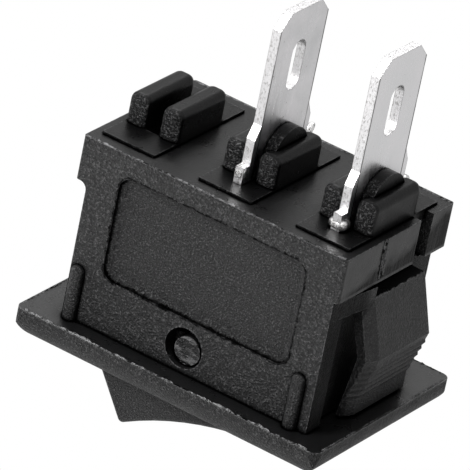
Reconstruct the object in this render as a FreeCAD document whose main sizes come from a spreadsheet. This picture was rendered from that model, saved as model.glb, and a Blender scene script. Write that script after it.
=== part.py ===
"""Snap-in panel rocker switch, two terminals, parametric model in millimetres.

Frame: the origin is the middle of the flange's panel-side face, X runs along the long side, +Z comes out of
the panel towards the finger, and the blades point to -Z. At rest the switch is off, with the rocker's +X end
raised.
"""
import FreeCAD, Part
import math
import os
import Sketcher

Vector = FreeCAD.Vector

# Driving sizes: alias, millimetres or degrees, what it is
SIZES = [
    ("flange_end", 1.05, "flange beyond the body at each end"),
    ("flange_side", 1.05, "flange beyond the body at each side"),
    ("flange_height", 1.43, "flange out of the panel, with its bezel"),
    ("flange_corner", 0.4, "corner radius of the flange"),
    ("bezel_round", 1.2, "rounding of the bezel's outer edges"),
    ("body_width", 8.08, "body along Y"),
    ("body_depth", 8.1, "body below the flange"),
    ("band_height", 2.0, "terminal-end band, a lip round the body"),
    ("band_corner", 0.15, "corner radius of the band"),
    ("band_blend", 0.35, "inside rounding between the waist and the band"),
    ("end_notch_near", 1.5, "notch in each end of the band, near edge"),
    ("end_notch_far", 2.45, "notch in each end of the band, far edge"),
    ("waist_inset", 0.57, "how far each end steps in above the band"),
    ("waist_return", 0.2, "how far the longer corner steps in above the band"),
    ("corner_post", 1.0, "longer corner of the waist along Y"),
    ("end_wall", 0.68, "end walls of the body"),
    ("wall", 0.69, "long walls of the body"),
    ("floor", 0.8, "floor that holds the terminals"),
    ("cavity_corner", 0.3, "corner radius of the cavity"),
    ("root_top", 5.15, "root of each latch arm, its edge towards the flange"),
    ("root_height", 0.32, "height of that root"),
    ("strap_height", 0.87, "strap that joins the root to the longer corner of the waist"),
    ("latch_near", 1.22, "flat of the latch arm, near edge"),
    ("latch_far", 2.52, "flat of the latch arm, far edge"),
    ("latch_bevel", 0.6, "bevel at the arm's near edge, along Y"),
    ("bevel_depth", 0.3, "the same bevel, along X"),
    ("latch_thickness", 0.5, "latch arm at its free foot"),
    ("latch_belly", 0.7, "latch arm at its widest point"),
    ("latch_root", 0.12, "outer face of the arm at its root, beyond the band"),
    ("latch_reach", 0.92, "widest point of the arm, beyond the band"),
    ("latch_peak", 2.95, "widest point of the arm below the flange"),
    ("latch_foot", 0.28, "outer face of the arm's foot, beyond the band"),
    ("tooth_end", 0.9, "upper end of the teeth below the flange"),
    ("tooth_land", 0.13, "height of the flat on each tooth"),
    ("tooth_lean", 0.03, "how far that flat leans out"),
    ("foot_gap", 0.12, "free gap between the foot and the flange"),
    ("rib_radius", 0.32, "half-round ribs on the long walls"),
    ("rib_place", 5.52, "ribs from the middle"),
    ("rib_length", 2.5, "ribs below the flange"),
    ("recess_left", 4.8, "bare recess on the long wall, reach to -X"),
    ("recess_right", 4.42, "bare recess on the long wall, reach to +X"),
    ("recess_top", 2.4, "recess upper edge below the flange"),
    ("recess_bottom", 7.15, "recess lower edge below the flange"),
    ("recess_corner", 0.6, "corner radius of the recess"),
    ("recess_step", 0.1, "upright edge of the recess"),
    ("recess_depth", 0.27, "depth of the recess"),
    ("recess_slope", 0.33, "width of the sloped edge of the recess"),
    ("pivot_drop", 0.85, "rocker pivot below the flange's panel side"),
    ("stub_radius", 0.62, "rocker's pivot stubs"),
    ("stub_clearance", 0.03, "stub to the upper edge of its hole"),
    ("hole_radius", 0.9, "pivot holes in the long walls"),
    ("stub_recess", 0.35, "stub end inside the wall's outer face"),
    ("pad_height", 0.12, "pads under the guard bars"),
    ("pad_front", 3.3, "pads reach to each side along Y"),
    ("pitch", 4.8, "distance between terminal places"),
    ("bar_inner", 0.33, "guard bar inner face from its terminal's middle"),
    ("bar_outer", 1.3, "guard bar outer face from its terminal's middle"),
    ("bar_length", 3.55, "guard bars along Y"),
    ("bar_height", 1.5, "guard bars beyond the body"),
    ("bar_round", 0.35, "rounding of the guard bars"),
    ("bar_end_round", 0.31, "rounding of their ends"),
    ("dome_radius", 1.3, "half disc beside each blade"),
    ("dome_centre", 0.9, "its centre beyond the body"),
    ("dome_reach", 0.75, "its outer face from the blade's middle"),
    ("slot_width", 0.66, "open slot of the empty terminal place"),
    ("slot_length", 3.4, "the same along Y"),
    ("blade_thickness", 0.4, "tab blades"),
    ("blade_width", 3.5, "tab blades along Y"),
    ("blade_length", 7.5, "tab blades beyond the body"),
    ("blade_chamfer", 0.65, "tip corners of the blades"),
    ("blade_foot", 4.1, "wide foot of the blades along Y"),
    ("foot_length", 2.0, "wide foot beyond the body"),
    ("foot_taper", 0.6, "taper between the blade and its foot"),
    ("tab_hole_width", 0.98, "wire slot across the blade"),
    ("tab_hole_length", 2.25, "wire slot along the blade"),
    ("tab_hole_tip", 1.5, "wire slot from the blade's tip"),
    ("tang_width", 3.0, "terminals where they pass the floor"),
    ("tang_gap", 0.02, "tang to its slot in the floor"),
    ("stake_width", 0.4, "staked ears of the terminals"),
    ("stake_height", 0.75, "staked ears beyond the pads"),
    ("fork_seat", 4.95, "knife edge that carries the see-saw, below the flange"),
    ("fork_width", 4.0, "fork of the common terminal along Y"),
    ("fork_ear", 0.5, "each ear of the fork along Y"),
    ("fork_height", 0.7, "ears above the knife edge"),
    ("shelf_height", 6.02, "shelf of the fixed terminal below the flange"),
    ("shelf_reach", 2.3, "shelf of the fixed terminal towards the middle"),
    ("strip_thickness", 0.3, "see-saw contact strip"),
    ("strip_width", 3.2, "see-saw contact strip along Y"),
    ("waist_width", 2.8, "strip between the ears of the fork"),
    ("waist_length", 1.2, "narrow stretch of the strip along X"),
    ("strip_left", 4.2, "strip from the pivot to its contact end"),
    ("strip_right", 3.4, "strip from the pivot to its free end"),
    ("dip_depth", 0.3, "dip in the middle of the strip"),
    ("dip_flat", 0.4, "half of the flat bottom of the dip"),
    ("dip_slope", 0.65, "length of each side of the dip"),
    ("seat_gap", 0.06, "strip above the knife edge"),
    ("strip_tilt", 9.0, "tilt of the strip at rest, degrees"),
    ("rivet_radius", 0.75, "contact rivet heads"),
    ("rivet_head", 0.38, "height of the contact rivet heads"),
    ("rivet_edge", 0.13, "bevel of the contact rivet heads"),
    ("shank_radius", 0.4, "shanks of the contact rivets"),
    ("button_radius", 0.55, "upset ends of the contact rivets"),
    ("button_height", 0.12, "height of the upset ends"),
    ("contact_place", 3.45, "contact rivets from the middle"),
    ("rocker_radius", 5.06, "round ends of the rocker about the pivot"),
    ("rocker_end_gap", 0.19, "rocker to the end walls"),
    ("rocker_side_gap", 0.15, "rocker to the long walls"),
    ("rocker_skirt", 0.6, "rocker below its pivot"),
    ("shoulder_height", 1.61, "where the round ends stop above the pivot"),
    ("tip_place", 4.02, "rocker tips from its middle"),
    ("tip_height", 3.97, "rocker tips above the pivot"),
    ("tip_round", 0.22, "rounding of the tips"),
    ("edge_round", 0.2, "rounding of the rocker's long edges"),
    ("top_radius", 15.3, "radius of the concave top"),
    ("rocker_wall", 0.7, "walls of the rocker"),
    ("rocker_end", 1.12, "ends of the rocker from its round ends to its hollow"),
    ("rocker_roof", 1.62, "from the tips of the rocker down to its plunger tube's end"),
    ("rocker_tilt", 16.0, "tilt of the rocker at rest, degrees"),
    ("tube_wall", 0.4, "wall of the plunger tube"),
    ("tube_length", 2.3, "plunger tube below the pivot"),
    ("plunger_radius", 0.85, "plunger"),
    ("plunger_gap", 0.04, "plunger to its tube"),
    ("plunger_reach", 3.7, "plunger tip below the pivot"),
    ("plunger_height", 3.0, "plunger along its tube"),
    ("plunger_tip", 0.6, "radius of the plunger's tip"),
    ("plunger_neck", 0.36, "straight stretch above the tip"),
    ("plunger_cone", 0.3, "height of the cone between the neck and the full width"),
    ("plunger_dimple", 0.22, "dimple that centres the spring"),
    ("spring_radius", 0.6, "spring, middle of the wire"),
    ("spring_wire", 0.11, "radius of the spring wire"),
    ("spring_turns", 3.5, "turns of the spring"),
]


class Size:
    """A number together with the sheet formula that gives it."""

    def __init__(self, value, text):
        self.value = value
        self.text = text

    def __add__(self, other):
        return combine(self, "+", other)

    def __radd__(self, other):
        return combine(other, "+", self)

    def __sub__(self, other):
        return combine(self, "-", other)

    def __rsub__(self, other):
        return combine(other, "-", self)

    def __mul__(self, other):
        return combine(self, "*", other)

    def __rmul__(self, other):
        return combine(other, "*", self)

    def __truediv__(self, other):
        return combine(self, "/", other)

    def __neg__(self):
        return combine(0, "-", self)


def as_size(thing):
    return thing if isinstance(thing, Size) else Size(float(thing), f"{float(thing):.6f}")


def combine(one, sign, two):
    one, two = as_size(one), as_size(two)
    results = {
        "+": one.value + two.value,
        "-": one.value - two.value,
        "*": one.value * two.value,
        "/": one.value / two.value if two.value else 0.0,
    }
    return Size(results[sign], f"({one.text} {sign} {two.text})")


doc = FreeCAD.newDocument("rocker_switch")
sheet = doc.addObject("Spreadsheet::Sheet", "sizes")
for row, (alias, number, meaning) in enumerate(SIZES, start=1):
    sheet.set(f"A{row}", meaning)
    sheet.set(f"B{row}", str(number))
    sheet.setAlias(f"B{row}", alias)
doc.recompute()


class Dimensions:
    """Every named size of the sheet, read back from it."""


dim = Dimensions()
for alias, _, _ in SIZES:
    setattr(dim, alias, Size(float(sheet.get(alias)), f"sizes.{alias}"))

# Heights that several pieces share
BASE = -dim.body_depth
BAND_TOP = BASE + dim.band_height
CAVITY_FLOOR = BASE + dim.floor
PAD = BASE - dim.pad_height
CAVITY_WIDTH = dim.body_width - 2 * dim.wall
CAVITY_END = dim.rocker_radius + dim.rocker_end_gap
WAIST = CAVITY_END + dim.end_wall
BAND_END = WAIST + dim.waist_inset
ROCKER_WIDTH = CAVITY_WIDTH - 2 * dim.rocker_side_gap
TUBE_TOP = dim.tip_height - dim.rocker_roof
BORE_RADIUS = dim.plunger_radius + dim.plunger_gap

# The three terminal places, counted in pitches from the middle
COMMON, FIXED, EMPTY = 0, -1, 1

# The spring wire is drawn with this many flat sides, to keep its long helix light
WIRE_SIDES = 6

# Teeth on each latch arm
TEETH = 6


def bind(item, name, size):
    item.setExpression(name, as_size(size).text)


def new_body(label):
    body = doc.addObject("PartDesign::Body", label)
    body.Label = label
    return body


def new_sketch(body, name, role, offset):
    sketch = body.newObject("Sketcher::SketchObject", name)
    plane = next(feature for feature in body.Origin.OriginFeatures if feature.Role == role)
    sketch.AttachmentSupport = [(plane, "")]
    sketch.MapMode = "FlatFace"
    bind(sketch, "AttachmentOffset.Base.z", offset)
    return sketch


def hold(sketch, kind, item, spot, size):
    """Pin one coordinate of a sketch point to its formula."""
    size = as_size(size)
    number = sketch.addConstraint(Sketcher.Constraint(kind, -1, 1, item, spot, size.value))
    sketch.setExpression(f"Constraints[{number}]", size.text)


def hold_radius(sketch, item, size):
    number = sketch.addConstraint(Sketcher.Constraint("Radius", item, size.value))
    sketch.setExpression(f"Constraints[{number}]", size.text)


def hold_half_round(sketch, item, corner, level):
    """A half circle between held ends needs only its centre kept on the line between them."""
    if level:
        hold(sketch, "DistanceY", item, 3, corner[1])
    else:
        hold(sketch, "DistanceX", item, 3, corner[0])


def arc_between(start, end, radius, left):
    """The short arc that joins two points and turns left, or right."""
    if not left:
        start, end = end, start
    middle = (start + end) / 2
    half = (end - start).Length / 2
    along = (end - start).normalize()
    normal = Vector(-along.y, along.x, 0)
    centre = middle + normal * math.sqrt(max(radius ** 2 - half ** 2, 0))
    first = math.atan2(start.y - centre.y, start.x - centre.x)
    last = math.atan2(end.y - centre.y, end.x - centre.x)
    return Part.ArcOfCircle(Part.Circle(centre, Vector(0, 0, 1), radius), first, last)


def draw(sketch, corners):
    """A closed outline. A corner is (across, up), or (across, up, radius) where an arc runs to the next corner:
    a negative radius turns right."""
    points = [Vector(as_size(c[0]).value, as_size(c[1]).value, 0) for c in corners]
    heads, tails = [], []
    for index, corner in enumerate(corners):
        start, end = points[index], points[(index + 1) % len(points)]
        if len(corner) == 3:
            left = corner[2].value > 0
            item = sketch.addGeometry(arc_between(start, end, abs(corner[2].value), left))
            heads.append((item, 1 if left else 2))
            tails.append((item, 2 if left else 1))
            if (end - start).Length > 2 * abs(corner[2].value) - 1e-6:
                hold_half_round(sketch, item, corner, abs(end.y - start.y) < 1e-6)
            else:
                hold_radius(sketch, item, corner[2] if left else -corner[2])
        else:
            item = sketch.addGeometry(Part.LineSegment(start, end))
            heads.append((item, 1))
            tails.append((item, 2))
    for index, tail in enumerate(tails):
        head = heads[(index + 1) % len(heads)]
        sketch.addConstraint(Sketcher.Constraint("Coincident", tail[0], tail[1], head[0], head[1]))
    for head, corner in zip(heads, corners):
        hold(sketch, "DistanceX", head[0], head[1], corner[0])
        hold(sketch, "DistanceY", head[0], head[1], corner[1])


def outline(body, name, role, corners, offset=0):
    sketch = new_sketch(body, name, role, offset)
    draw(sketch, corners)
    return sketch


def rectangle(low_x, high_x, low_y, high_y):
    return [(low_x, low_y), (high_x, low_y), (high_x, high_y), (low_x, high_y)]


def rounded(low_x, high_x, low_y, high_y, radius):
    return [
        (low_x + radius, low_y), (high_x - radius, low_y, radius),
        (high_x, low_y + radius), (high_x, high_y - radius, radius),
        (high_x - radius, high_y), (low_x + radius, high_y, radius),
        (low_x, high_y - radius), (low_x, low_y + radius, radius),
    ]


def circles(body, name, role, places, radius, offset=0):
    sketch = new_sketch(body, name, role, offset)
    for across, up in places:
        centre = Vector(as_size(across).value, as_size(up).value, 0)
        item = sketch.addGeometry(Part.Circle(centre, Vector(0, 0, 1), radius.value))
        hold(sketch, "DistanceX", item, 3, across)
        hold(sketch, "DistanceY", item, 3, up)
        hold_radius(sketch, item, radius)
    return sketch


def extrude(kind, body, name, sketch, length, both=False, back=False):
    """A pad or a pocket, which must add to the body or cut from it."""
    doc.recompute()
    before = body.Shape.Volume if body.Tip else 0.0
    feature = body.newObject(f"PartDesign::{kind}", name)
    feature.Profile = sketch
    feature.SideType = "Symmetric" if both else "One side"
    feature.Reversed = back
    bind(feature, "Length", length)
    doc.recompute()
    change = body.Shape.Volume - before
    if change * (1 if kind == "Pad" else -1) <= 0:
        raise RuntimeError(f"{body.Label}.{name} changes the volume by {change}")
    return feature


def pad(body, name, sketch, length, both=False, back=False):
    return extrude("Pad", body, name, sketch, length, both, back)


def pocket(body, name, sketch, length, both=False, back=False):
    return extrude("Pocket", body, name, sketch, length, both, back)


def dress(kind, body, name, size, chooser):
    """A fillet or a chamfer on the edges that the chooser picks."""
    base = body.Tip
    names = [f"Edge{n}" for n, edge in enumerate(base.Shape.Edges, start=1) if chooser(edge)]
    if not names:
        raise RuntimeError(f"{body.Label}.{name} finds no edge")
    feature = body.newObject(f"PartDesign::{kind}", name)
    feature.Base = (base, names)
    bind(feature, "Radius" if kind == "Fillet" else "Size", size)
    doc.recompute()
    return feature


def near(number, size):
    return abs(number - as_size(size).value) < 1e-4


def spans(edge, axis):
    box = edge.BoundBox
    return {"x": box.XLength, "y": box.YLength, "z": box.ZLength}[axis]


def terminal_x(place):
    return place * dim.pitch


def blade_outline(top, half):
    """The tab in the YZ plane, from its tip to where it goes on, at the given height and half width."""
    tip = BASE - dim.blade_length
    side = dim.blade_width / 2
    foot = dim.blade_foot / 2
    cut = dim.blade_chamfer
    taper = BASE - dim.foot_length
    right = [
        (side - cut, tip), (side, tip + cut), (side, taper - dim.foot_taper), (foot, taper), (foot, PAD),
        (half, PAD), (half, top),
    ]
    left = [(-across, up) for across, up in reversed(right)]
    return right, left


def wire_slot():
    """The long round-ended hole of a tab, in the YZ plane."""
    low = BASE - dim.blade_length + dim.tab_hole_tip
    round_end = dim.tab_hole_width / 2
    high = low + dim.tab_hole_length
    return [
        (-round_end, low + round_end, round_end), (round_end, low + round_end),
        (round_end, high - round_end, round_end), (-round_end, high - round_end),
    ]


def make_housing():
    body = new_body("housing")
    side = dim.body_width / 2
    band = outline(body, "band_outline", "XY_Plane",
                   rounded(-BAND_END, BAND_END, -side, side, dim.band_corner), BASE)
    pad(body, "band", band, dim.band_height)

    # Above the band both ends step in, each less at one corner, alike when the body is turned half round
    shy = BAND_END - dim.waist_return
    post = side - dim.corner_post
    waist = outline(body, "waist_outline", "XY_Plane", [
        (-shy, -side), (WAIST, -side), (WAIST, post), (shy, post),
        (shy, side), (-WAIST, side), (-WAIST, -post), (-shy, -post),
    ], BAND_TOP)
    pad(body, "waist", waist, dim.body_depth - dim.band_height)
    dress("Fillet", body, "band_blends", dim.band_blend, lambda edge: (
        near(edge.BoundBox.ZMin, BAND_TOP) and near(edge.BoundBox.ZMax, BAND_TOP)
        and near(abs(edge.CenterOfMass.x), WAIST) and spans(edge, "x") < 1e-3))
    make_ribs(body)
    make_end_notches(body)
    make_flange(body)

    cavity = CAVITY_WIDTH / 2
    opening = outline(body, "cavity_outline", "XY_Plane",
                      rounded(-CAVITY_END, CAVITY_END, -cavity, cavity, dim.cavity_corner), CAVITY_FLOOR)
    pocket(body, "cavity", opening, dim.body_depth + dim.flange_height, back=True)

    holes = circles(body, "pivot_circles", "XZ_Plane", [(as_size(0), hole_height())], dim.hole_radius)
    pocket(body, "pivot_holes", holes, dim.body_width, both=True)

    make_terminal_face(body)
    make_recess(body)
    make_latches(body)
    return body


def make_end_notches(body):
    """An upright notch in each end of the band, as deep as the waist."""
    for end, word in ((-1, "left"), (1, "right")):
        low, high = sorted_pair(end * WAIST, end * (BAND_END + dim.waist_inset))
        notch = outline(body, f"{word}_notch_outline", "XY_Plane",
                        rectangle(low, high, dim.end_notch_near, dim.end_notch_far), BASE)
        pocket(body, f"{word}_notch", notch, dim.band_height, back=True)


def make_flange(body):
    """The flange, whose outer edges turn over in a round up to the bezel's flat top."""
    reach = {"XZ_Plane": BAND_END + dim.flange_end, "YZ_Plane": dim.body_width / 2 + dim.flange_side}
    far_x, far_y = reach["XZ_Plane"], reach["YZ_Plane"]
    rim = outline(body, "flange_outline", "XY_Plane", rounded(-far_x, far_x, -far_y, far_y, dim.flange_corner))
    pad(body, "flange", rim, dim.flange_height)
    turn, top = dim.bezel_round, dim.flange_height
    for role, far in reach.items():
        for hand, word in ((-1, "low"), (1, "high")):
            corner = [
                (hand * far, top - turn), (hand * (far + turn), top - turn),
                (hand * (far + turn), top + turn), (hand * (far - turn), top + turn),
                (hand * (far - turn), top, -hand * turn),
            ]
            waste = outline(body, f"bezel_{role[:2]}_{word}_outline", role, corner)
            pocket(body, f"bezel_{role[:2]}_{word}", waste, 2 * (far_x + far_y), both=True)


def hole_height():
    """The stub rests near the upper edge of its larger hole, where the plunger's spring pushes it."""
    return -dim.pivot_drop + dim.stub_radius + dim.stub_clearance - dim.hole_radius


def make_recess(body):
    """The bare panel sunk into one long wall: a small upright step, then a slope down to its ground."""
    outer = rounded(-dim.recess_left, dim.recess_right, -dim.recess_bottom, -dim.recess_top, dim.recess_corner)
    slope = dim.recess_slope
    inner = rounded(-dim.recess_left + slope, dim.recess_right - slope, -dim.recess_bottom + slope,
                    -dim.recess_top - slope, dim.recess_corner - slope)
    side = dim.body_width / 2
    step = outline(body, "recess_step_outline", "XZ_Plane", outer, side - dim.recess_step)
    pocket(body, "recess_step", step, 2 * dim.recess_step, back=True)
    mouth = outline(body, "recess_mouth", "XZ_Plane", outer, side - dim.recess_step)
    ground = outline(body, "recess_ground", "XZ_Plane", inner, side - dim.recess_depth)
    loft(body, "recess", "SubtractiveLoft", mouth, ground)


def loft(body, name, kind, start, end):
    """A straight-sided loft between two sketches, which must change the body."""
    doc.recompute()
    before = body.Shape.Volume
    feature = body.newObject(f"PartDesign::{kind}", name)
    feature.Profile = start
    feature.Sections = [end]
    feature.Ruled = True
    doc.recompute()
    if (body.Shape.Volume - before) * (1 if kind == "AdditiveLoft" else -1) <= 0:
        raise RuntimeError(f"{body.Label}.{name} changes nothing")


def make_ribs(body):
    """Half-round ribs with round lower ends, under the flange on both long walls."""
    side = dim.body_width / 2
    straight = dim.rib_length - dim.rib_radius
    places = [(along * dim.rib_place, across * side) for along in (-1, 1) for across in (-1, 1)]
    sketch = circles(body, "rib_circles", "XY_Plane", places, dim.rib_radius, -straight)
    pad(body, "ribs", sketch, straight)
    for number, (along, across) in enumerate(places):
        ball = body.newObject("PartDesign::AdditiveSphere", f"rib_end_{number}")
        bind(ball, "Radius", dim.rib_radius)
        bind(ball, "AttachmentOffset.Base.x", along)
        bind(ball, "AttachmentOffset.Base.y", across)
        bind(ball, "AttachmentOffset.Base.z", -straight)
        plane = next(feature for feature in body.Origin.OriginFeatures if feature.Role == "XY_Plane")
        ball.AttachmentSupport = [(plane, "")]
        ball.MapMode = "FlatFace"
    doc.recompute()


def latch_outline(end, shallow):
    """The arm's profile in the XZ plane: out to its widest point, then in over the teeth to its foot."""
    root = -dim.root_top
    under = root - dim.root_height
    reach = BAND_END + dim.latch_reach - shallow
    foot = BAND_END + dim.latch_foot - shallow
    inner = BAND_END + dim.latch_foot - dim.latch_thickness
    drop = (dim.latch_peak - dim.tooth_end) / TEETH
    path = [
        (WAIST - dim.end_wall / 2, under), (BAND_END + dim.latch_root - shallow, under),
        (reach, -dim.latch_peak),
    ]
    for tooth in range(1, TEETH):
        out = reach - (reach - foot) / TEETH * tooth
        low = -dim.latch_peak + drop * tooth
        path += [(out, low), (out + dim.tooth_lean, low + dim.tooth_land)]
    path += [
        (foot, -dim.tooth_end), (foot, -dim.foot_gap), (inner, -dim.foot_gap),
        (BAND_END + dim.latch_reach - dim.latch_belly, -dim.latch_peak), (WAIST, root),
        (WAIST - dim.end_wall / 2, root),
    ]
    return [(end * across, up) for across, up in path]


def make_latches(body):
    """A toothed latch arm at each end, rooted low on the end wall and free to bend towards it.

    A strap joins its root to the longer corner of the waist.
    """
    side = dim.body_width / 2
    root = -dim.root_top
    for end, word in ((-1, "left"), (1, "right")):
        arm = latch_outline(end, as_size(0))
        flat = outline(body, f"{word}_latch_outline", "XZ_Plane", arm, dim.latch_near)
        pad(body, f"{word}_latch", flat, dim.latch_near + dim.latch_far, back=True)
        start = outline(body, f"{word}_bevel_start", "XZ_Plane", arm, dim.latch_near)
        edge = outline(body, f"{word}_bevel_end", "XZ_Plane", latch_outline(end, dim.bevel_depth),
                       dim.latch_near + dim.latch_bevel)
        loft(body, f"{word}_bevel", "AdditiveLoft", start, edge)
        post = end * (BAND_END - dim.waist_return)
        wall = end * (WAIST - dim.end_wall / 2)
        seat = -dim.latch_near if end < 0 else dim.latch_far
        strap = outline(body, f"{word}_strap_outline", "XY_Plane", [
            (wall, end * side), (post, end * side), (end * (BAND_END + dim.latch_root), seat), (wall, seat),
        ], root - dim.strap_height)
        pad(body, f"{word}_strap", strap, dim.strap_height)


def sorted_pair(one, two):
    return (one, two) if one.value < two.value else (two, one)


def make_terminal_face(body):
    """Pads, guard bars and half discs round the terminal places, and the slots through the floor."""
    depth = dim.floor + dim.pad_height + dim.bar_height
    half_bar = dim.bar_length / 2
    for place, word in ((EMPTY, "empty"), (COMMON, "common"), (FIXED, "fixed")):
        middle = terminal_x(place)
        base = outline(body, f"{word}_pad_outline", "XY_Plane", rectangle(
            middle - dim.bar_outer, middle + dim.bar_outer, -dim.pad_front, dim.pad_front), PAD)
        pad(body, f"{word}_pad", base, dim.pad_height + dim.floor / 2)
        for hand, name in ((-1, "left"), (1, "right")):
            low, high = sorted_pair(middle + hand * dim.bar_inner, middle + hand * dim.bar_outer)
            bar = outline(body, f"{word}_{name}_bar_outline", "XZ_Plane", bar_profile(low, high))
            pad(body, f"{word}_{name}_bar", bar, dim.bar_length, both=True)
            dress("Fillet", body, f"{word}_{name}_bar_round", dim.bar_end_round, lambda edge: (
                near(edge.BoundBox.YMin, half_bar) or near(edge.BoundBox.YMax, -half_bar))
                and edge.BoundBox.ZMax < PAD.value - 0.02
                and low.value - 1e-3 < edge.CenterOfMass.x < high.value + 1e-3)
        if place == EMPTY:
            wide, long = dim.slot_width, dim.slot_length
        else:
            wide = dim.blade_thickness + 2 * dim.tang_gap
            long = dim.tang_width + 2 * dim.tang_gap
            dome = new_sketch(body, f"{word}_dome_outline", "YZ_Plane", middle - dim.dome_reach)
            draw(dome, [
                (-dim.dome_radius, BASE + dim.floor / 2),
                (-dim.dome_radius, BASE - dim.dome_centre, dim.dome_radius),
                (dim.dome_radius, BASE - dim.dome_centre), (dim.dome_radius, BASE + dim.floor / 2),
            ])
            pad(body, f"{word}_dome", dome, dim.dome_reach - dim.blade_thickness / 2 - dim.tang_gap)
        slot = outline(body, f"{word}_slot_outline", "XY_Plane", rectangle(
            middle - wide / 2, middle + wide / 2, -long / 2, long / 2), PAD - dim.bar_height)
        pocket(body, f"{word}_slot", slot, depth, back=True)


def bar_profile(low, high):
    """The cross-section of a guard bar, with its rounded top away from the body."""
    top = PAD + dim.pad_height - dim.bar_height
    turn = dim.bar_round
    return [
        (low, BASE + dim.floor / 2), (low, top + turn, turn), (low + turn, top), (high - turn, top, turn),
        (high, top + turn), (high, BASE + dim.floor / 2),
    ]


def make_rocker():
    """The rocker in its own frame, with the pivot at the origin."""
    body = new_body("rocker")
    tip_x, tip_z = dim.tip_place, dim.tip_height
    shoulder = math.sqrt(dim.rocker_radius.value ** 2 - dim.shoulder_height.value ** 2)
    root = as_size_sqrt(dim.rocker_radius * dim.rocker_radius - dim.shoulder_height * dim.shoulder_height, shoulder)
    foot = as_size_sqrt(dim.rocker_radius * dim.rocker_radius - dim.rocker_skirt * dim.rocker_skirt,
                        math.sqrt(dim.rocker_radius.value ** 2 - dim.rocker_skirt.value ** 2))
    profile = outline(body, "profile", "XZ_Plane", [
        (-foot, -dim.rocker_skirt), (foot, -dim.rocker_skirt, dim.rocker_radius), (root, dim.shoulder_height),
        (tip_x, tip_z, -dim.top_radius), (-tip_x, tip_z), (-root, dim.shoulder_height, dim.rocker_radius),
    ])
    pad(body, "block", profile, ROCKER_WIDTH, both=True)
    side = ROCKER_WIDTH / 2
    dress("Fillet", body, "tips", dim.tip_round, lambda edge: near(edge.BoundBox.ZMin, tip_z)
          and near(edge.BoundBox.ZMax, tip_z) and spans(edge, "y") > side.value)
    dress("Fillet", body, "long_edges", dim.edge_round, lambda edge: near(abs(edge.CenterOfMass.y), side)
          and spans(edge, "y") < 1e-3 and spans(edge, "x") > tip_x.value and edge.BoundBox.ZMin > 0)

    # Hollow from below, with a tube in the middle for the plunger
    inside = dim.rocker_radius - dim.rocker_end
    hollow = outline(body, "hollow_outline", "XY_Plane", rectangle(
        -inside, inside, -side + dim.rocker_wall, side - dim.rocker_wall), -dim.rocker_skirt)
    pocket(body, "hollow", hollow, TUBE_TOP - dim.rocker_wall + dim.rocker_skirt, back=True)
    tube = circles(body, "tube_circle", "XY_Plane", [(0, 0)], BORE_RADIUS + dim.tube_wall, -dim.tube_length)
    pad(body, "tube", tube, dim.tube_length + TUBE_TOP)
    bore = circles(body, "bore_circle", "XY_Plane", [(0, 0)], BORE_RADIUS, -dim.tube_length)
    pocket(body, "bore", bore, dim.tube_length + TUBE_TOP - dim.rocker_wall, back=True)

    # Pivot stubs on both sides, which stop short of the housing's outer faces
    reach = dim.body_width / 2 - dim.stub_recess
    for hand, word in ((-1, "front"), (1, "back")):
        stub = circles(body, f"{word}_stub_circle", "XZ_Plane", [(0, 0)], dim.stub_radius,
                       -hand * (side - dim.rocker_wall / 2))
        pad(body, f"{word}_stub", stub, reach - side + dim.rocker_wall / 2, back=hand > 0)
    seat_in_rocker(body)
    return body


def as_size_sqrt(size, value):
    return Size(value, f"sqrt({size.text})")


def seat_in_rocker(body):
    """Place a piece of the rocker's own frame at the pivot, tilted as at rest."""
    angle = (-dim.rocker_tilt).text
    body.setExpression("Placement", "placement(vector(0; 0; {}); rotation(vector(0; 1; 0); {}))".format(
        (-dim.pivot_drop).text, angle))


def seat_on_fork(body):
    """Place a piece of the see-saw's own frame on the knife edge, tilted as at rest."""
    body.setExpression("Placement", "placement(vector(0; 0; {}); rotation(vector(0; 1; 0); {}))".format(
        (-dim.fork_seat).text, dim.strip_tilt.text))


def make_plunger():
    """A pin with a ball end, hollow above for the spring."""
    body = new_body("plunger")
    tip = -dim.plunger_reach
    top = tip + dim.plunger_height
    ball = dim.plunger_tip
    shoulder = tip + ball + dim.plunger_neck
    sketch = outline(body, "profile", "XZ_Plane", [
        (as_size(0), tip, ball), (ball, tip + ball), (ball, shoulder),
        (dim.plunger_radius, shoulder + dim.plunger_cone), (dim.plunger_radius, top),
        (dim.spring_radius - dim.plunger_dimple, top), (as_size(0), top - dim.plunger_dimple),
    ])
    turn = body.newObject("PartDesign::Revolution", "pin")
    turn.Profile = sketch
    turn.ReferenceAxis = (sketch, ["V_Axis"])
    turn.Angle = 360
    doc.recompute()
    seat_in_rocker(body)
    return body


def make_spring():
    """The coil spring between the plunger and the end of its bore."""
    low = -dim.plunger_reach + dim.plunger_height + dim.spring_wire
    high = TUBE_TOP - dim.rocker_wall - dim.spring_wire
    tall = high.value - low.value
    radius, wire = dim.spring_radius.value, dim.spring_wire.value
    helix = Part.makeHelix(tall / dim.spring_turns.value, tall, radius)
    turn = 2 * math.pi / WIRE_SIDES
    ring = [Vector(radius + wire * math.cos(turn * step), 0, wire * math.sin(turn * step))
            for step in range(WIRE_SIDES)]
    section = Part.makePolygon(ring + ring[:1])
    coil = Part.Wire(helix).makePipeShell([section], True, True)
    spring = doc.addObject("Part::Feature", "spring")
    spring.Shape = coil
    tilt = FreeCAD.Rotation(Vector(0, 1, 0), -dim.rocker_tilt.value)
    pivot = Vector(0, 0, -dim.pivot_drop.value)
    spring.Placement = FreeCAD.Placement(pivot + tilt.multVec(Vector(0, 0, low.value)), tilt)
    return spring


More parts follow.
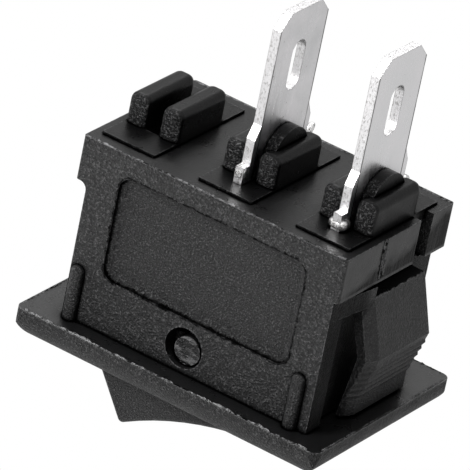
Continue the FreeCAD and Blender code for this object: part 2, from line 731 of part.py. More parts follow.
def make_moving_contact():
    """The see-saw strip in its own frame: the knife edge is at the origin, the dip raises the arms."""
    body = new_body("moving_contact")
    low = dim.seat_gap
    thick = dim.strip_thickness
    rise = low + dim.dip_depth
    flat, bend = dim.dip_flat, dim.dip_flat + dim.dip_slope
    left, right = -dim.strip_left, dim.strip_right
    profile = outline(body, "profile", "XZ_Plane", [
        (left, rise), (-bend, rise), (-flat, low), (flat, low), (bend, rise), (right, rise),
        (right, rise + thick), (bend, rise + thick), (flat, low + thick), (-flat, low + thick),
        (-bend, rise + thick), (left, rise + thick),
    ])
    pad(body, "strip", profile, dim.strip_width, both=True)
    for hand, word in ((-1, "front"), (1, "back")):
        low_y, high_y = sorted_pair(hand * dim.waist_width / 2, hand * dim.strip_width)
        notch = outline(body, f"{word}_notch_outline", "XY_Plane", rectangle(
            -dim.waist_length / 2, dim.waist_length / 2, low_y, high_y))
        pocket(body, f"{word}_notch", notch, 2 * (rise + thick), both=True)
    hole = circles(body, "rivet_hole_circle", "XY_Plane", [(-dim.contact_place, 0)], dim.shank_radius)
    pocket(body, "rivet_hole", hole, 3 * (rise + thick), both=True)
    seat_on_fork(body)
    return body


def revolve_rivet(label, centre, corners):
    """A rivet turned about its own upright axis, at a place along X."""
    body = new_body(label)
    sketch = outline(body, "profile", "XZ_Plane", corners)
    turn = body.newObject("PartDesign::Revolution", "rivet")
    turn.Profile = sketch
    turn.ReferenceAxis = (sketch, ["V_Axis"])
    turn.Angle = 360
    bind(body, "Placement.Base.x", centre)
    doc.recompute()
    return body


def rivet_profile(face, grip, outward):
    """Half of a rivet: its head outside the face, its shank through the grip, its upset button beyond."""
    head = face + outward * dim.rivet_head
    far = face - outward * grip
    button = far - outward * dim.button_height
    crown = dim.rivet_edge
    return [
        (as_size(0), head), (dim.rivet_radius - crown, head), (dim.rivet_radius, head - outward * crown),
        (dim.rivet_radius, face), (dim.shank_radius, face), (dim.shank_radius, far),
        (dim.button_radius, far), (dim.button_radius, button), (as_size(0), button),
    ]


def make_moving_rivet():
    """The silver contact under the see-saw's end."""
    under = dim.seat_gap + dim.dip_depth
    body = revolve_rivet("moving_contact_rivet", as_size(0), rivet_profile(under, dim.strip_thickness, -1))
    tilt = dim.strip_tilt.text
    body.setExpression("Placement", "placement(vector({0} * cos({1} * 1 deg); 0; {2} - {0} * sin({1} * 1 deg)); "
                       "rotation(vector(0; 1; 0); {1}))".format((-dim.contact_place).text, tilt,
                                                                 (-dim.fork_seat).text))
    doc.recompute()
    return body


def make_fixed_rivet():
    """The silver contact on the shelf of the fixed terminal."""
    return revolve_rivet("fixed_contact_rivet", -dim.contact_place,
                         rivet_profile(-dim.shelf_height, dim.blade_thickness, 1))


def make_common_terminal():
    """The middle tab, whose fork inside carries the see-saw on a knife edge."""
    body = new_body("common_terminal")
    tang = dim.tang_width / 2
    shoulder = CAVITY_FLOOR + dim.floor / 2
    right, left = blade_outline(shoulder, tang)
    fork = dim.fork_width / 2
    ear = fork - dim.fork_ear
    top = -dim.fork_seat + dim.fork_height
    head = [
        (fork, shoulder), (fork, top), (ear, top), (ear, -dim.fork_seat), (-ear, -dim.fork_seat), (-ear, top),
        (-fork, top), (-fork, shoulder),
    ]
    sketch = outline(body, "outline", "YZ_Plane", right + head + left)
    pad(body, "tab", sketch, dim.blade_thickness, both=True)
    hole = outline(body, "wire_slot_outline", "YZ_Plane", wire_slot())
    pocket(body, "wire_slot", hole, 2 * dim.blade_thickness, both=True)
    make_stakes(body, as_size(0))
    return body


def make_fixed_terminal():
    """The outer tab, bent over inside into the shelf that carries the fixed contact."""
    body = new_body("fixed_terminal")
    middle = terminal_x(FIXED)
    tang = dim.tang_width / 2
    top = -dim.shelf_height
    right, left = blade_outline(top, tang)
    sketch = outline(body, "outline", "YZ_Plane", right + left, middle)
    pad(body, "tab", sketch, dim.blade_thickness, both=True)
    hole = outline(body, "wire_slot_outline", "YZ_Plane", wire_slot(), middle)
    pocket(body, "wire_slot", hole, 2 * dim.blade_thickness, both=True)
    make_stakes(body, middle)
    shelf = outline(body, "shelf_outline", "XY_Plane", rectangle(
        middle - dim.blade_thickness / 2, -dim.shelf_reach, -tang, tang), top - dim.blade_thickness)
    pad(body, "shelf", shelf, dim.blade_thickness)
    rivet = circles(body, "rivet_hole_circle", "XY_Plane", [(-dim.contact_place, 0)], dim.shank_radius,
                    top - dim.blade_thickness)
    pocket(body, "rivet_hole", rivet, dim.blade_thickness, back=True)
    return body


def make_stakes(body, middle):
    """Small ears at both edges of the foot, beaten over to hold the terminal."""
    foot = dim.blade_foot / 2
    for hand, word in ((-1, "front"), (1, "back")):
        low, high = sorted_pair(hand * (foot - dim.stake_width / 2), hand * (foot + dim.stake_width))
        stake = outline(body, f"{word}_stake_outline", "XY_Plane", rectangle(
            middle - dim.blade_thickness / 2, middle + dim.blade_thickness / 2, low, high), PAD)
        pad(body, f"{word}_stake", stake, dim.stake_height, back=True)


pieces = [
    make_housing(),
    make_rocker(),
    make_plunger(),
    make_spring(),
    make_moving_contact(),
    make_moving_rivet(),
    make_common_terminal(),
    make_fixed_terminal(),
    make_fixed_rivet(),
]
doc.recompute()

for item in doc.Objects:
    if "Invalid" in item.State or "Error" in item.State:
        raise RuntimeError(f"{item.Label} failed: {item.State}")
os.makedirs("parts", exist_ok=True)
for piece in pieces:
    if piece.Shape.isNull() or not piece.Shape.isValid() or len(piece.Shape.Solids) != 1:
        raise RuntimeError(f"{piece.Label} is not one valid solid")
for piece in pieces:
    piece.Shape.exportStep(f"parts/{piece.Label}.step")
    print(f"{piece.Label}: {piece.Shape.Volume:.3f} mm3")
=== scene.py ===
"""Studio scene for the snap-in panel rocker switch. Metres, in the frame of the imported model."""
import math
import random

import bmesh
import bpy
from mathutils import Matrix, Vector


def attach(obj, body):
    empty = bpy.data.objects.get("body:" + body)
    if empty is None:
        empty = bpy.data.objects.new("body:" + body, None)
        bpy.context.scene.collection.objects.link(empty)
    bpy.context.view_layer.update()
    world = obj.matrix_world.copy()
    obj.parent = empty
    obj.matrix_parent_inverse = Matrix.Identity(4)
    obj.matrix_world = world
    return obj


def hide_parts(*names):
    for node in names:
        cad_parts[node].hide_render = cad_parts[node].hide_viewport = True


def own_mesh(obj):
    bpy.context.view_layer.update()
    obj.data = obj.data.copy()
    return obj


MM = 0.001

# Camera, fitted to the photograph: it looks up at the terminal face, and the picture is upside down
CAMERA_AIM = Vector((1.670, 1.315, -3.816)) * MM
CAMERA_DISTANCE = 300 * MM
CAMERA_AZIMUTH = math.radians(28.797)
CAMERA_RISE = math.radians(27.148)
CAMERA_ROLL = math.radians(168.255)
CAMERA_LENS = 559.85
SENSOR = 36.0

# Floor and studio: the gloss of the floor, the fill light, and the level of the studio's far side
FLOOR_HEIGHT = -210 * MM
FLOOR_SIZE = 4.0
FLOOR_COLOUR = (0.83, 0.83, 0.83, 1)
FLOOR_GLEAM = 0.42
FILL = 0.25
FAR_SIDE = 0.58
STUDIO_NEAR, STUDIO_FAR = -0.4, 0.5

# Lamps: direction from the switch, distance and size in metres, power in watts
LAMPS = {
    "key": ((0.35, 0.45, -0.80), 0.22, 0.12, 0.15),
    "rake": ((0.45, -0.75, -0.50), 0.30, 0.09, 0.85),
    "above": ((0.20, -0.30, 0.90), 0.40, 0.30, 0.35),
}

# Places on the switch in mm, as in the CAD
FLANGE_X, FLANGE_Y, FLANGE_TURN = 7.5, 5.07, 0.45
BODY_X, BODY_Y = 6.5, 4.04
TERMINAL_FACE, BAND_TOP = -8.1, -6.2
STRAP_X, STRAP_HEIGHT, STRAP_Y = 6.62, -5.47, (-1.2, 2.5)
RECESS_LOW, RECESS_HIGH, RECESS_CORNER = (-4.8, -7.15), (4.42, -2.4), 0.6
RECESS_WALL = (-3.4, -3.6)
SLANT_LOW, SLANT_HIGH = -7.25, -6.75
GATE_Y = -1.12
BLADE_PITCH, BLADE_SIDE = 4.8, 1.71
STUB_END = 3.62

# The plunger's slide, its spring and the rocker's pivot
SLIDE, SLIDE_ACROSS = Vector((-0.275637, 0, 0.961262)), Vector((0.961262, 0, 0.275637))
PIVOT = Vector((0, 0, -0.85 * MM))
COIL_RADIUS, COIL_WIRE, COIL_TURNS = 0.6 * MM, 0.105 * MM, 3.5

WHITE = (1, 1, 1, 1)
BLACK = (0, 0, 0, 1)
NYLON_DARK = (0.006, 0.006, 0.0063, 1)
NYLON_LIGHT = (0.011, 0.011, 0.0115, 1)
NYLON_DUSTY = (0.026, 0.026, 0.0265, 1)
NYLON_GLINT = (0.10, 0.10, 0.101, 1)
# painted glints on the grained bar ends
NYLON_BAR_GLINT = (0.20, 0.20, 0.203, 1)
# painted highlights along the outer edges
NYLON_EDGE_HIGHLIGHT = (0.26, 0.26, 0.265, 1)
# painted shade in inside corners and along the recess outline
NYLON_CORNER_SHADE = (0.0005, 0.0005, 0.0005, 1)
NYLON_SCRATCH = (0.06, 0.06, 0.061, 1)
# painted highlight on the rocker's stub ends
NYLON_STUB_HIGHLIGHT = (0.17, 0.17, 0.172, 1)
FLASH_DARK = (0.012, 0.012, 0.0125, 1)
FLASH_PALE = (0.22, 0.22, 0.225, 1)
TIN_PIT = (0.30, 0.29, 0.285, 1)
TIN_DARK_EDGE = (0.14, 0.137, 0.135, 1)
TIN_SHEARED = (0.45, 0.445, 0.44, 1)
TIN_SCAR = (0.42, 0.41, 0.405, 1)
TIN_CREASE = (0.35, 0.345, 0.34, 1)
TIN_BRIGHT = (0.95, 0.945, 0.94, 1)
STEEL = (0.45, 0.45, 0.46, 1), (0.6, 0.6, 0.61, 1)
BRASS = (0.66, 0.48, 0.22, 1), (0.78, 0.60, 0.32, 1)
SILVER = (0.72, 0.71, 0.69, 1), (0.84, 0.83, 0.81, 1)
ACETAL = (0.62, 0.60, 0.54, 1), (0.72, 0.70, 0.65, 1)


class Nodes:
    """A node tree, built one node a call."""

    def __init__(self, tree):
        self.tree = tree

    def add(self, kind, settings=None, **inputs):
        """A node. Each input is a value or a socket, and goes by its name, or by its place as i0, i1."""
        node = self.tree.nodes.new(kind)
        for key, value in (settings or {}).items():
            setattr(node, key, value)
        for key, value in inputs.items():
            self.put(node, key.replace("_", " "), value)
        return node

    def put(self, node, key, value):
        numbered = key[0] == "i" and key[1:].isdigit()
        socket = node.inputs[int(key[1:])] if numbered else node.inputs[key]
        if isinstance(value, bpy.types.NodeSocket):
            self.tree.links.new(value, socket)
        else:
            socket.default_value = value

    def math(self, operation, one, two=0.0):
        return self.add("ShaderNodeMath", {"operation": operation}, i0=one, i1=two).outputs[0]

    def times(self, first, *others):
        for other in others:
            first = self.math("MULTIPLY", first, other)
        return first

    def most(self, first, *others):
        for other in others:
            first = self.math("MAXIMUM", first, other)
        return first

    def vector(self, operation, one, two=(0, 0, 0)):
        return self.add("ShaderNodeVectorMath", {"operation": operation}, i0=one, i1=two).outputs

    def parts(self, vector):
        return self.add("ShaderNodeSeparateXYZ", Vector=vector).outputs

    def span(self, value, low, high, to_low=0.0, to_high=1.0):
        """The value, carried from low and high to to_low and to_high, and held there outside them."""
        return self.add("ShaderNodeMapRange", Value=value, From_Min=low, From_Max=high,
                        To_Min=to_low, To_Max=to_high).outputs["Result"]

    def zone(self, place, low, high, to_low=0.0, to_high=1.0):
        """The same for a place, with low and high in mm."""
        return self.span(place, low * MM, high * MM, to_low, to_high)


class Shader(Nodes):
    """The node tree of one material: noise scales in waves a metre, distances in mm, masks from 0 to 1."""

    def __init__(self, name):
        self.material = bpy.data.materials.new(name)
        self.material.use_nodes = True
        super().__init__(self.material.node_tree)
        self.surface = self.tree.nodes["Principled BSDF"]
        self.place = self.add("ShaderNodeTexCoord").outputs["Object"]
        self.facing = self.place.node.outputs["Normal"]

    def noise(self, scale, detail=3.0, roughness=0.6, stretch=None):
        where = self.place
        if stretch:
            where = self.add("ShaderNodeMapping", Vector=self.place, Scale=stretch).outputs[0]
        node = self.add("ShaderNodeTexNoise", Vector=where, Scale=scale, Detail=detail, Roughness=roughness)
        return node.outputs["Fac"]

    def mix(self, share, one, two):
        return self.add("ShaderNodeMix", {"data_type": "RGBA"}, i0=share, i6=one, i7=two).outputs[2]

    def layers(self, colour, *coats):
        """The colour under coats of paint, each a mask and its colour, the last on top."""
        for share, paint in coats:
            colour = self.mix(share, colour, paint)
        return colour

    def grey(self, value):
        return self.add("ShaderNodeCombineColor", i0=value, i1=value, i2=value).outputs[0]

    def bump(self, height, strength, distance, normal=None):
        node = self.add("ShaderNodeBump", Height=height, Strength=strength, Distance=distance * MM)
        if normal:
            self.tree.links.new(normal, node.inputs["Normal"])
        return node.outputs["Normal"]

    def edge_mask(self, radius):
        """Near 1 on edges and 0 on flats: how far a rounded normal leans from the true one."""
        soft = self.add("ShaderNodeBevel", {"samples": 4}, Radius=radius * MM).outputs[0]
        true = self.add("ShaderNodeNewGeometry").outputs["Normal"]
        return self.span(self.vector("DOT_PRODUCT", soft, true)["Value"], 0.995, 0.8)

    def openness(self, distance):
        """1 in the open and less where other surfaces are near."""
        return self.add("ShaderNodeAmbientOcclusion", {"samples": 8}, Distance=distance * MM).outputs["AO"]

    def outline(self, low, high, corner, wobble):
        """Metres, to either side, from a rounded rectangle in X and Z that the wobble makes ragged."""
        middle = [(a + b) / 2 * MM for a, b in zip(low, high)]
        reach = [((b - a) / 2 - corner) * MM for a, b in zip(low, high)]
        past = self.vector("ABSOLUTE", self.vector("SUBTRACT", self.place, (middle[0], 0, middle[1]))[0])[0]
        past = self.vector("MAXIMUM", self.vector("SUBTRACT", past, (reach[0], 1, reach[1]))[0])[0]
        span = self.math("SUBTRACT", self.vector("LENGTH", past)["Value"], corner * MM)
        return self.math("ABSOLUTE", self.math("ADD", span, wobble))

    def finish(self, **inputs):
        for key, value in inputs.items():
            self.put(self.surface, key.replace("_", " "), value)
        return self.material


class Nylon(Shader):
    """Black moulded nylon: spark-grained on its long walls, rim and latches, smooth elsewhere."""

    def __init__(self, name):
        super().__init__(name)
        along, across = [self.math("ABSOLUTE", part) for part in self.parts(self.facing)[:2]]
        self.side, self.depth, self.height = self.parts(self.place)
        self.reach = self.math("ABSOLUTE", self.side)
        self.rim = self.zone(self.height, 0.02, 0.10)
        latches = self.times(self.span(along, 0.5, 0.7),
                             self.zone(self.height, BAND_TOP, BAND_TOP + 0.2, 0, 0.6))
        self.grained = self.most(self.span(across, 0.45, 0.65), self.rim, latches)
        self.facing_ends = self.span(along, 0.7, 0.9)
        self.band = self.times(
            self.zone(self.height, BAND_TOP, BAND_TOP - 0.05),
            self.zone(self.height, TERMINAL_FACE - 0.04, TERMINAL_FACE - 0.02),
            self.zone(self.reach, BODY_X - 0.10, BODY_X - 0.05))
        self.lean = self.edge_mask(0.08)
        self.open_air = self.openness(0.2)
        self.tears = self.noise(4600, 3, 0.7)

    def edge_highlights(self):
        """Painted highlights in patches along the outer edges."""
        return self.times(self.lean, self.span(self.open_air, 0.88, 0.98),
                          self.span(self.noise(6200, 3, 0.7), 0.44, 0.56))

    def corner_shade(self):
        """Painted shade: inside corners, and a ragged dark line along the outline of the recess in the -Y
        wall.
        """
        corners = self.times(self.lean, self.span(self.open_air, 0.93, 0.78),
                             self.span(self.tears, 0.30, 0.42))
        wobble = self.span(self.tears, 0.3, 0.7, -0.07 * MM, 0.07 * MM)
        edge = self.outline(RECESS_LOW, RECESS_HIGH, RECESS_CORNER, wobble)
        ragged = self.span(self.noise(2600, 2), 0.35, 0.6, 0.35, 0.75)
        torn = self.times(self.zone(edge, 0.09, 0.04), self.zone(self.depth, *RECESS_WALL), ragged)
        return self.most(corners, torn)

    def shaded(self):
        """Streaky shade on the end faces: the waist, and a slanting part of the band."""
        waist = self.times(
            self.zone(self.height, BAND_TOP + 0.05, BAND_TOP + 0.2),
            self.zone(self.height, 0, -0.1),
            self.zone(self.reach, BODY_X + 0.10, BODY_X + 0.04))
        slant = self.math("ADD", self.height, self.times(self.depth, 0.2))
        slant = self.math("ADD", slant, self.span(self.noise(700, 2), 0.3, 0.7, -0.25 * MM, 0.25 * MM))
        slant = self.times(self.band, self.zone(slant, SLANT_LOW, SLANT_HIGH, 0, 0.6))
        streaks = self.span(self.noise(1500, 3, 0.6, (1, 4, 0.3)), 0.35, 0.65, 0.75, 1.0)
        return self.times(self.most(self.times(waist, 0.5), slant), streaks, self.facing_ends)

    def gate_mark(self):
        """The pale scratches in the gate mark on the band's -X end, and the dark ground between them."""
        across = self.math("ABSOLUTE", self.math("SUBTRACT", self.depth, GATE_Y * MM))
        mark = self.times(self.zone(across, 0.26, 0.14), self.math("LESS_THAN", self.side, 0),
                          self.facing_ends, self.band)
        scratches = self.times(mark, self.span(self.noise(5200, 3, 0.8, (1, 1, 0.5)), 0.50, 0.62))
        return scratches, self.math("SUBTRACT", mark, scratches)

    def stub_highlights(self):
        """Painted highlight in rough patches on the end faces of the rocker's stubs."""
        highlight_patches = self.span(self.noise(2200, 3, 0.7, (0.5, 1, 1.8)), 0.46, 0.58)
        return self.times(highlight_patches, self.zone(self.math("ABSOLUTE", self.depth), STUB_END, STUB_END + 0.04))


def moulded(name, rough, grain, stubs=False):
    """Black moulded nylon, with painted highlights along the outer edges and on the rocker's stub ends, and
    painted shade in inside corners, creases, on the end faces and near the terminal face.
    """
    shader = Nylon(name)
    grained = shader.grained
    pebbles = shader.noise(12500, 2, 0.6)
    specks = shader.noise(23000, 1, 0.5)
    # Painted shade in inside corners and along the recess outline
    corner_shade = shader.corner_shade()
    scratches, ground = shader.gate_mark()
    # Painted shade in creases, darker where the surface is more enclosed
    notch_shade = shader.span(shader.open_air, 0.92, 0.6, 0, 0.9)
    # Painted shade on the terminal face and everything beyond it, dimming its reflection
    terminal_face_shade = shader.zone(shader.height, TERMINAL_FACE + 0.10, TERMINAL_FACE - 0.05, 0, 0.35)
    # Painted shade, black in colour and reflection: the streaky shade on the end faces, creases, the terminal
    # face and inside corners; also the gate mark's dark ground, its own colour
    black = shader.most(shader.shaded(), notch_shade, terminal_face_shade, corner_shade, shader.times(ground, 0.9))

    glints = shader.times(shader.span(pebbles, 0.58, 0.68), grained)
    # Painted glints on the grained faces beyond the terminal face, such as the bars' ends
    bar_glints = shader.times(shader.span(shader.noise(8500, 3, 0.75), 0.53, 0.62),
                          shader.zone(shader.height, TERMINAL_FACE - 0.10, TERMINAL_FACE - 0.30), grained)
    coats = [(shader.times(grained, 0.5), NYLON_DUSTY), (glints, NYLON_GLINT), (bar_glints, NYLON_BAR_GLINT),
             (shader.edge_highlights(), NYLON_EDGE_HIGHLIGHT), (corner_shade, NYLON_CORNER_SHADE), (scratches, NYLON_SCRATCH), (black, BLACK)]
    # Painted highlight on the rocker's stub ends
    if stubs:
        coats.append((shader.stub_highlights(), NYLON_STUB_HIGHLIGHT))
    colour = shader.layers(shader.mix(shader.noise(420, 4), NYLON_DARK, NYLON_LIGHT), *coats)

    pores = shader.span(pebbles, 0.38, 0.56, 0.36, 1.0)
    gleam = shader.mix(shader.span(grained, 0, 1, 0.25, grain), WHITE, shader.grey(pores))
    # Painted shade in the reflections: darker in enclosed places, halved on the rim, and black wherever the
    # colour is painted black
    occlusion_shade = shader.span(shader.openness(0.9), 0.92, 0.45)
    gleam = shader.layers(gleam, (corner_shade, BLACK), (occlusion_shade, BLACK), (shader.times(shader.rim, 0.5), BLACK),
                          (black, BLACK))

    share = shader.span(grained, 0, 1, 0.10, 1.0)
    relief = shader.bump(pebbles, share, 0.18)
    relief = shader.bump(specks, shader.times(share, 0.5), 0.02, relief)
    mottle = shader.span(shader.noise(1500, 3), 0.3, 0.7, -0.05, 0.07)
    roughness = shader.math("ADD", shader.span(grained, 0, 1, rough - 0.15, rough), mottle)
    return shader.finish(Base_Color=colour, Metallic=black, Specular_Tint=gleam, Normal=relief,
                         Roughness=roughness)


def rough_edge(name):
    """Torn black nylon at the parting lines: grey where thin and scuffed, black between."""
    shader = Shader(name)
    torn = shader.span(shader.noise(4200, 3, 0.7), 0.45, 0.6)
    colour = shader.mix(torn, FLASH_DARK, FLASH_PALE)
    relief = shader.bump(shader.noise(14000, 2), 0.8, 0.03)
    roughness = shader.span(torn, 0, 1, 0.3, 0.55)
    return shader.finish(Base_Color=colour, Roughness=roughness, Normal=relief)


def tinned(name, low, high):
    """Matte tin over brass: clouded and finely streaked, with pits, dark lines along the edges and sheared
    edges.
    """
    shader = Shader(name)
    sheared = shader.span(shader.math("ABSOLUTE", shader.parts(shader.facing)[0]), 0.8, 0.5)
    streaks = shader.noise(1500, 4, 0.65, (5.0, 5.0, 0.35))
    clouds = shader.span(shader.noise(520, 4, 0.6), 0.3, 0.7)
    pits = shader.span(shader.noise(3400, 3, 0.8), 0.67, 0.73)
    torn = shader.noise(12000, 3, 0.7, (1, 1, 0.5))
    depth = shader.math("ABSOLUTE", shader.parts(shader.place)[1])
    # Darker along the edges of the blade faces and along every rounded edge
    dark_edges = shader.zone(shader.math("ABSOLUTE", shader.math("SUBTRACT", depth, BLADE_SIDE * MM)), 0.045, 0.02)
    dark_edges = shader.most(shader.times(dark_edges, shader.span(sheared, 1, 0)), shader.edge_mask(0.06))
    colour = shader.layers(
        shader.mix(clouds, (low, low, low * 1.01, 1), (high, high * 0.985, high, 1)),
        (shader.times(pits, 0.8), TIN_PIT),
        (shader.times(dark_edges, shader.span(streaks, 0.30, 0.50)), TIN_DARK_EDGE),
        (shader.times(sheared, 0.25), TIN_SHEARED),
        (shader.times(sheared, shader.span(torn, 0.50, 0.66)), TIN_SCAR))
    relief = shader.bump(streaks, 0.15, 0.01)
    relief = shader.bump(torn, shader.times(sheared, 0.9), 0.03, relief)
    roughness = shader.math("ADD", shader.span(streaks, 0.3, 0.7, 0.24, 0.38), shader.times(sheared, 0.1))
    return shader.finish(Base_Color=colour, Metallic=1.0, Roughness=roughness, Normal=relief)


def punched(name):
    """Bright tin torn and creased by the punch."""
    shader = Shader(name)
    creases = shader.noise(5200, 3, 0.7)
    colour = shader.mix(shader.span(creases, 0.42, 0.56), TIN_CREASE, TIN_BRIGHT)
    relief = shader.bump(creases, 0.7, 0.03)
    roughness = shader.span(shader.noise(2500, 2), 0.3, 0.7, 0.22, 0.36)
    return shader.finish(Base_Color=colour, Metallic=1.0, Roughness=roughness, Normal=relief)


def metal(name, tones, rough, stretch=(1, 1, 1)):
    """Bare metal with drawn or rolled grain."""
    shader = Shader(name)
    grain = shader.noise(1500, 4, 0.6, stretch)
    colour = shader.mix(shader.noise(600, 3), *tones)
    relief = shader.bump(grain, 0.2, 0.01)
    roughness = shader.span(grain, 0.3, 0.7, rough - 0.06, rough + 0.08)
    return shader.finish(Base_Color=colour, Metallic=1.0, Roughness=roughness, Normal=relief)


def acetal(name):
    """Smooth cream plastic."""
    shader = Shader(name)
    colour = shader.mix(shader.noise(500, 3), *ACETAL)
    relief = shader.bump(shader.noise(3500, 3), 0.1, 0.01)
    roughness = shader.span(shader.noise(1200, 2), 0.3, 0.7, 0.3, 0.42)
    return shader.finish(Base_Color=colour, Roughness=roughness, Normal=relief)


def camera_axes():
    """Right, up and forward of the photograph's camera."""
    forward = Vector((
        math.sin(CAMERA_AZIMUTH) * math.cos(CAMERA_RISE),
        math.cos(CAMERA_AZIMUTH) * math.cos(CAMERA_RISE),
        math.sin(CAMERA_RISE),
    ))
    level = forward.cross(Vector((0, 0, 1))).normalized()
    upright = level.cross(forward)
    up = upright * math.cos(CAMERA_ROLL) + level * math.sin(CAMERA_ROLL)
    return forward.cross(up), up, forward


def make_camera():
    right, up, forward = camera_axes()
    data = bpy.data.cameras.new("photo_camera")
    data.lens = CAMERA_LENS
    data.sensor_width = SENSOR
    data.clip_start = 10 * MM
    data.clip_end = 10
    camera = bpy.data.objects.new("photo_camera", data)
    turn = Matrix((right, up, -forward)).transposed().to_4x4()
    camera.matrix_world = Matrix.Translation(CAMERA_AIM - forward * CAMERA_DISTANCE) @ turn
    bpy.context.scene.collection.objects.link(camera)
    bpy.context.scene.camera = camera


def make_world():
    """White to the camera, to gloss a white studio that greys towards its far side, else a faint fill."""
    world = bpy.data.worlds.new("studio")
    bpy.context.scene.world = world
    world.use_nodes = True
    world.node_tree.nodes.clear()
    nodes = Nodes(world.node_tree)
    path = nodes.add("ShaderNodeLightPath").outputs
    shown = nodes.most(path["Is Camera Ray"], path["Is Transmission Ray"], path["Is Glossy Ray"])
    direction = nodes.parts(nodes.add("ShaderNodeTexCoord").outputs["Generated"])
    studio = nodes.span(direction["Y"], STUDIO_NEAR, STUDIO_FAR, 1.0, FAR_SIDE)
    strength = nodes.times(nodes.span(shown, 0, 1, FILL, 1.0), nodes.most(studio, path["Is Camera Ray"]))
    backdrop = nodes.add("ShaderNodeBackground", Color=WHITE, Strength=strength)
    nodes.add("ShaderNodeOutputWorld", Surface=backdrop.outputs[0])


def make_floor():
    """A pale floor, which glossy surfaces see as bright as the studio behind it."""
    mesh = bpy.data.meshes.new("floor")
    half = FLOOR_SIZE / 2
    corners = [(-half, -half, 0), (half, -half, 0), (half, half, 0), (-half, half, 0)]
    mesh.from_pydata(corners, [], [(0, 1, 2, 3)])
    floor = bpy.data.objects.new("floor", mesh)
    floor.location = (0, 0, FLOOR_HEIGHT)
    bpy.context.scene.collection.objects.link(floor)
    shader = Shader("floor")
    glossy = shader.add("ShaderNodeLightPath").outputs["Is Glossy Ray"]
    mesh.materials.append(shader.finish(Base_Color=FLOOR_COLOUR, Roughness=0.9, Emission_Color=WHITE,
                                        Emission_Strength=shader.times(glossy, FLOOR_GLEAM)))


def make_lamp(name, toward, distance, size, watts):
    """A square soft lamp that faces the switch from the given direction."""
    place = CAMERA_AIM + Vector(toward).normalized() * distance
    data = bpy.data.lights.new(name, "AREA")
    data.shape = "SQUARE"
    data.size = size
    data.energy = watts
    item = bpy.data.objects.new(name, data)
    item.location = place
    item.rotation_euler = (CAMERA_AIM - place).to_track_quat("-Z", "Y").to_euler()
    item.visible_camera = False
    bpy.context.scene.collection.objects.link(item)


def new_piece(mesh, material, body):
    """Put a mesh in the scene as a piece that rides on a body and takes its finish from a slot."""
    mesh.materials.append(material)
    item = bpy.data.objects.new(mesh.name, mesh)
    bpy.context.scene.collection.objects.link(item)
    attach(item, body)
    return item


def smooth_mesh(name, form):
    mesh = bpy.data.meshes.new(name)
    form.to_mesh(mesh)
    form.free()
    mesh.shade_smooth()
    return mesh


def make_ridge(name, start, end, inward, up, height, width, material, seed):
    """A ragged ridge of flash along an edge, in mm: it rises towards up and leans inward from the edge."""
    step_length, jump = 0.07, 0.45
    chance = random.Random(seed)
    start, end, inward, up = (Vector(v) for v in (start, end, inward, up))
    count = int((end - start).length / step_length)
    vertices, faces = [], []
    level = 0.5
    for step in range(count + 1):
        level = min(1, max(0, level + chance.uniform(-jump, jump)))
        at = start.lerp(end, step / count)
        rise = height * level * (0.6 + 0.4 * chance.random())
        base = width * (0.4 + 0.6 * chance.random())
        lean = inward * base * chance.uniform(0.2, 0.8)
        vertices += [at * MM, (at + up * rise + lean) * MM, (at + inward * base) * MM]
        if step:
            now, last = 3 * step, 3 * step - 3
            faces += [(last, now, now + 1, last + 1), (last + 1, now + 1, now + 2, last + 2)]
    mesh = bpy.data.meshes.new(name)
    mesh.from_pydata(vertices, [], faces)
    new_piece(mesh, material, "body")


def make_flash(material):
    """Ragged flash at the parting lines, and the torn gate mark on the band's -X end."""
    down = (0, 0, -1)
    long_x, short_y = FLANGE_X - FLANGE_TURN, FLANGE_Y - FLANGE_TURN
    wall_x = BODY_X - 0.1
    for hand, word in ((-1, "front"), (1, "back")):
        rim, wall = hand * FLANGE_Y, hand * (BODY_Y - 0.03)
        make_ridge(f"flange_flash_{word}", (-long_x, rim, 0), (long_x, rim, 0),
                   (0, -hand, 0), down, 0.10, 0.12, material, 11 + hand)
        make_ridge(f"wall_flash_{word}", (-wall_x, wall, TERMINAL_FACE), (wall_x, wall, TERMINAL_FACE),
                   (0, -hand, 0), down, 0.06, 0.16, material, 21 + hand)
    for hand, word in ((-1, "left"), (1, "right")):
        rim, strap = hand * FLANGE_X, hand * STRAP_X
        make_ridge(f"flange_flash_{word}", (rim, -short_y, 0), (rim, short_y, 0),
                   (-hand, 0, 0), down, 0.06, 0.08, material, 31 + hand)
        make_ridge(f"root_flash_{word}", *[(strap, y, STRAP_HEIGHT) for y in STRAP_Y],
                   (-hand, 0, 0), down, 0.07, 0.10, material, 41 + hand)
    for row in range(3):
        across = GATE_Y - 0.10 + 0.13 * row
        foot, head = (-BODY_X, across, TERMINAL_FACE + 0.02), (-BODY_X, across + 0.1, BAND_TOP - 0.1)
        make_ridge(f"gate_mark_{row}", foot, head, (0, 1, 0), (-1, 0, 0), 0.05, 0.12, material, 60 + 3 * row)


def make_bead(name, middle, half, lean, material, seed):
    """The upset end of a terminal's ear, in mm: a lump squared by the punch, creased and bent over."""
    squareness, wave_count, wave_pitch, wave_height, waist = 0.62, 7, 3.2, 0.012, 0.93
    chance = random.Random(seed)
    form = bmesh.new()
    bmesh.ops.create_icosphere(form, subdivisions=4, radius=1)
    waves = [(Vector([chance.uniform(-1, 1) for _ in range(3)]) * wave_pitch, chance.uniform(0, 6))
             for _ in range(wave_count)]
    for vertex in form.verts:
        shape = Vector([math.copysign(abs(c) ** squareness, c) for c in vertex.co])
        lump = sum(math.sin(wave.dot(vertex.co) + phase) for wave, phase in waves)
        shape *= waist + wave_height * lump
        place = Vector(middle) + Vector([c * h for c, h in zip(shape, half)])
        place.y += lean * (middle[2] - place.z)
        vertex.co = place * MM
    new_piece(smooth_mesh(name, form), material, "body")


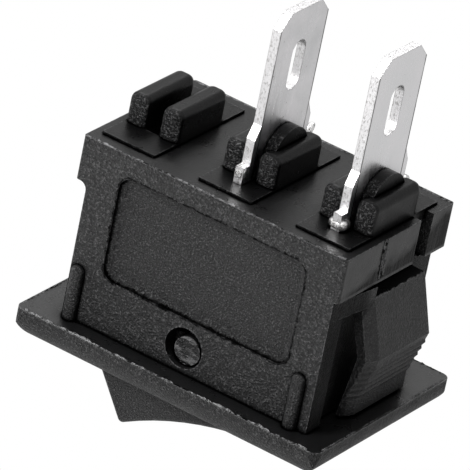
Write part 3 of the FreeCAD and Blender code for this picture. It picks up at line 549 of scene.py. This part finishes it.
def make_beads(material):
    """The staked ears at both ends of each blade's foot: mashed flat in front, bent over at the back."""
    make_bead("common_stake_front", (0, -2.24, -8.66), (0.30, 0.24, 0.36), 0, material, 49)
    make_bead("fixed_stake_front", (-BLADE_PITCH, -2.14, -8.46), (0.46, 0.36, 0.25), 0, material, 45)
    make_bead("common_stake_back", (0, 2.42, -8.90), (0.19, 0.20, 0.50), 0.7, material, 51)
    make_bead("fixed_stake_back", (-BLADE_PITCH, 2.36, -8.76), (0.24, 0.22, 0.40), 0.4, material, 47)


def make_coil(node):
    """The plunger's spring in round wire, which stays in the rocker's tube, coiled along the slide."""
    sides, steps = 12, 36
    marks = [SLIDE.dot(vertex.co - PIVOT) for vertex in node.data.vertices]
    low, high = min(marks), max(marks)
    form = bmesh.new()
    rings = []
    for step in range(int(COIL_TURNS * steps) + 1):
        angle = math.tau * step / steps
        outward = SLIDE_ACROSS * math.cos(angle) + Vector((0, 1, 0)) * math.sin(angle)
        rise = low + COIL_WIRE + (high - low - 2 * COIL_WIRE) * step / (COIL_TURNS * steps)
        middle = PIVOT + SLIDE * rise + outward * COIL_RADIUS
        turns = [math.tau * side / sides for side in range(sides)]
        rings.append([form.verts.new(middle + (outward * math.cos(turn) + SLIDE * math.sin(turn)) * COIL_WIRE)
                      for turn in turns])
    for one, two in zip(rings, rings[1:]):
        for side in range(sides):
            form.faces.new((one[side - 1], one[side], two[side], two[side - 1]))
    form.faces.new(rings[0])
    form.faces.new(reversed(rings[-1]))
    bmesh.ops.recalc_face_normals(form, faces=form.faces)
    item = new_piece(smooth_mesh("coil_spring", form), node.data.materials[0], "rocker_body")
    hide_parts("spring")
    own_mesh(item)


def dress(nodes):
    looks = {
        "housing": moulded("moulded_body", 0.45, 1.0),
        "rocker": moulded("moulded_rocker", 0.42, 0.6, stubs=True),
        "plunger": acetal("acetal_pin"),
        "spring": metal("spring_wire", STEEL, 0.3),
        "moving_contact": metal("rolled_brass", BRASS, 0.28, (0.5, 5, 5)),
        "moving_contact_rivet": metal("silver", SILVER, 0.24),
        "fixed_contact_rivet": metal("silver_fixed", SILVER, 0.24),
        "common_terminal": tinned("tinned_common", 0.78, 0.95),
        "fixed_terminal": tinned("tinned_fixed", 0.95, 1.0),
    }
    for node, material in looks.items():
        nodes[node].data.materials.clear()
        nodes[node].data.materials.append(material)


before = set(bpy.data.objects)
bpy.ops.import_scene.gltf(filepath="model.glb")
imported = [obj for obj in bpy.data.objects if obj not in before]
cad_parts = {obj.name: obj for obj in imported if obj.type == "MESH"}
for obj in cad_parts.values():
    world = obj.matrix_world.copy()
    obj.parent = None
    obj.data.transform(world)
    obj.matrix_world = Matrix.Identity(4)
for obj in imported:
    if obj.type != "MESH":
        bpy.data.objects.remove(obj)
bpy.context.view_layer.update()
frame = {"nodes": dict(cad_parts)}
bpy.context.scene.view_settings.view_transform = "Standard"
make_camera()
make_world()
make_floor()
for lamp, settings in LAMPS.items():
    make_lamp(lamp, *settings)
dress(frame["nodes"])
make_flash(rough_edge("moulding_flash"))
make_beads(punched("punched_tin"))
make_coil(frame["nodes"]["spring"])
